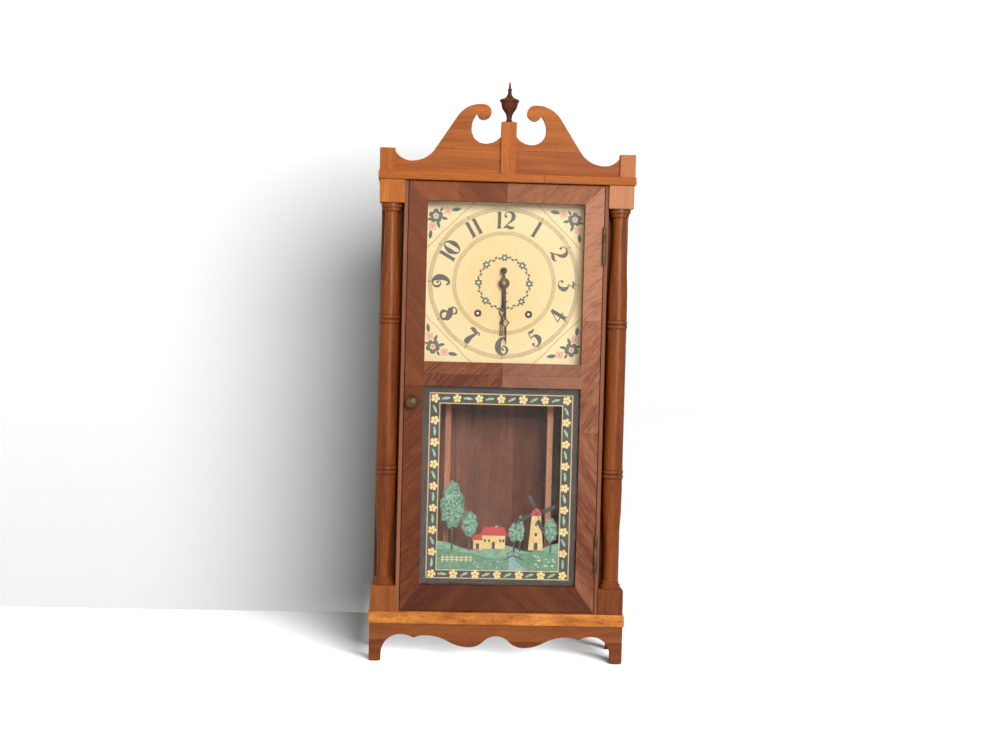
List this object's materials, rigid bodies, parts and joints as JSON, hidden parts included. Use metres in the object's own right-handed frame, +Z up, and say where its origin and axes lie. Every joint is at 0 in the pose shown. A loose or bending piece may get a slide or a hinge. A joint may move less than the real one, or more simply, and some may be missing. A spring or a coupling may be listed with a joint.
{
  "type": "pillar and scroll clock",
  "caption": "Shelf clock with turned pillars, scrolled crest and apron, urn finial, glazed hinged door, painted dial and short pendulum movement.",
  "frame": {"origin": "on the floor, in the middle of the overall width and depth", "axes": "+Z up, the front faces -Y, +X to the right as seen from the front"},
  "size_m": [0.32, 0.122, 0.7235],
  "materials": {
    "golden_wood": "satin lacquer over golden brown stained hardwood",
    "red_wood": "satin lacquer over red brown mahogany",
    "dark_wood": "dark polished turned hardwood",
    "veneer": "satin crossbanded mahogany veneer",
    "inner_wood": "plain stained boards",
    "clear_glass": "clear sheet glass",
    "painted_glass": "sheet glass painted on its back",
    "dial_paint": "cream painted dial sheet",
    "black_steel": "blackened steel",
    "aged_brass": "aged unlacquered brass",
    "clock_brass": "brushed brass",
    "steel": "polished steel",
    "cast_iron": "black painted iron"
  },
  "bodies": {
    "case": {"base_board": "golden_wood", "front_apron": "red_wood", "side_aprons": "red_wood", "plinth_blocks": "red_wood", "column_left": "red_wood", "column_right": "red_wood", "cap_blocks": "golden_wood", "top_board": "golden_wood", "crest_board": "golden_wood", "centre_plinth": "golden_wood", "side_plinths": "golden_wood", "finial": "dark_wood", "side_panel_left": "red_wood", "side_panel_right": "red_wood", "niche_backs": "red_wood", "door_jamb_left": "red_wood", "door_jamb_right": "red_wood", "back_panel": "inner_wood", "movement_posts": "inner_wood", "seat_board": "inner_wood", "inner_cleats": "inner_wood", "dial_plate": "dial_paint", "winding_grommets": "aged_brass", "jamb_hinge_leaves": "aged_brass", "hinge_pins": "aged_brass", "movement_front_plate": "clock_brass", "movement_back_plate": "clock_brass", "plate_pillars": "steel", "seat_bolts": "steel", "time_barrel": "clock_brass", "strike_barrel": "clock_brass", "pendulum_cock": "clock_brass", "gong_coil": "steel", "gong_block": "cast_iron"},
    "door": {"door_stile_left": "veneer", "door_stile_right": "veneer", "door_rail_top": "veneer", "door_rail_middle": "veneer", "door_rail_bottom": "veneer", "upper_glass": "clear_glass", "lower_glass": "painted_glass", "glass_beads": "veneer", "door_hinge_leaves": "aged_brass", "stile_pin": "aged_brass"},
    "latch": {"door_knob": "aged_brass", "latch_tongue": "steel"},
    "minute_arbor": {"centre_arbor": "steel", "minute_hand": "black_steel", "hand_nut": "aged_brass"},
    "hour": {"hour_wheel": "clock_brass", "hour_hand": "black_steel"},
    "minute_wheel": {"minute_wheel": "clock_brass"},
    "pendulum": {"pendulum_rod": "steel", "pendulum_bob": "clock_brass"},
    "rating_nut": {"rating_nut": "clock_brass"},
    "anchor": {"anchor_and_crutch": "steel"},
    "hammer": {"strike_hammer": "steel"},
    "time_winding": {"time_winding_arbor": "steel"},
    "strike_winding": {"strike_winding_arbor": "steel"}
  },
  "joints": [
    {"name": "door_swing", "type": "hinge", "parent": "case", "child": "door", "pos_m": [0.122, -0.0485, 0.3305], "axis": [0, 0, 1], "range_deg": [0, 120]},
    {"name": "latch_turn", "type": "hinge", "parent": "door", "child": "latch", "pos_m": [-0.112, -0.046, 0.3245], "axis": [0, 1, 0], "range_deg": [0, 90]},
    {"name": "minute_hand_turn", "type": "hinge", "parent": "case", "child": "minute_arbor", "pos_m": [0, -0.009, 0.4745], "axis": [0, 1, 0], "continuous": true},
    {"name": "minute_wheel_turn", "type": "hinge", "parent": "case", "child": "minute_wheel", "pos_m": [0, -0.009, 0.4925], "axis": [0, 1, 0], "continuous": true},
    {"name": "hour_hand_turn", "type": "hinge", "parent": "case", "child": "hour", "pos_m": [0, -0.009, 0.4745], "axis": [0, 1, 0], "continuous": true},
    {"name": "pendulum_swing", "type": "hinge", "parent": "case", "child": "pendulum", "pos_m": [0, 0.0322, 0.5085], "axis": [0, 1, 0], "range_deg": [-4, 4]},
    {"name": "anchor_rock", "type": "hinge", "parent": "case", "child": "anchor", "pos_m": [0, 0.0322, 0.5085], "axis": [0, 1, 0], "range_deg": [-4, 4]},
    {"name": "rating_nut_turn", "type": "hinge", "parent": "pendulum", "child": "rating_nut", "pos_m": [0, 0.0322, 0.34725], "axis": [0, 0, 1], "continuous": true},
    {"name": "hammer_lift", "type": "hinge", "parent": "case", "child": "hammer", "pos_m": [0.05, 0.0202, 0.5025], "axis": [0, -1, 0], "range_deg": [0, 14]},
    {"name": "time_winding_turn", "type": "hinge", "parent": "case", "child": "time_winding", "pos_m": [0.032, -0.009, 0.436], "axis": [0, 1, 0], "continuous": true},
    {"name": "strike_winding_turn", "type": "hinge", "parent": "case", "child": "strike_winding", "pos_m": [-0.032, -0.009, 0.436], "axis": [0, 1, 0], "continuous": true}
  ],
  "couplings": [
    {"joint": "minute_wheel_turn", "follows": "minute_hand_turn", "ratio": -0.33333},
    {"joint": "hour_hand_turn", "follows": "minute_hand_turn", "ratio": 0.083333},
    {"joint": "anchor_rock", "follows": "pendulum_swing", "ratio": 1}
  ]
}
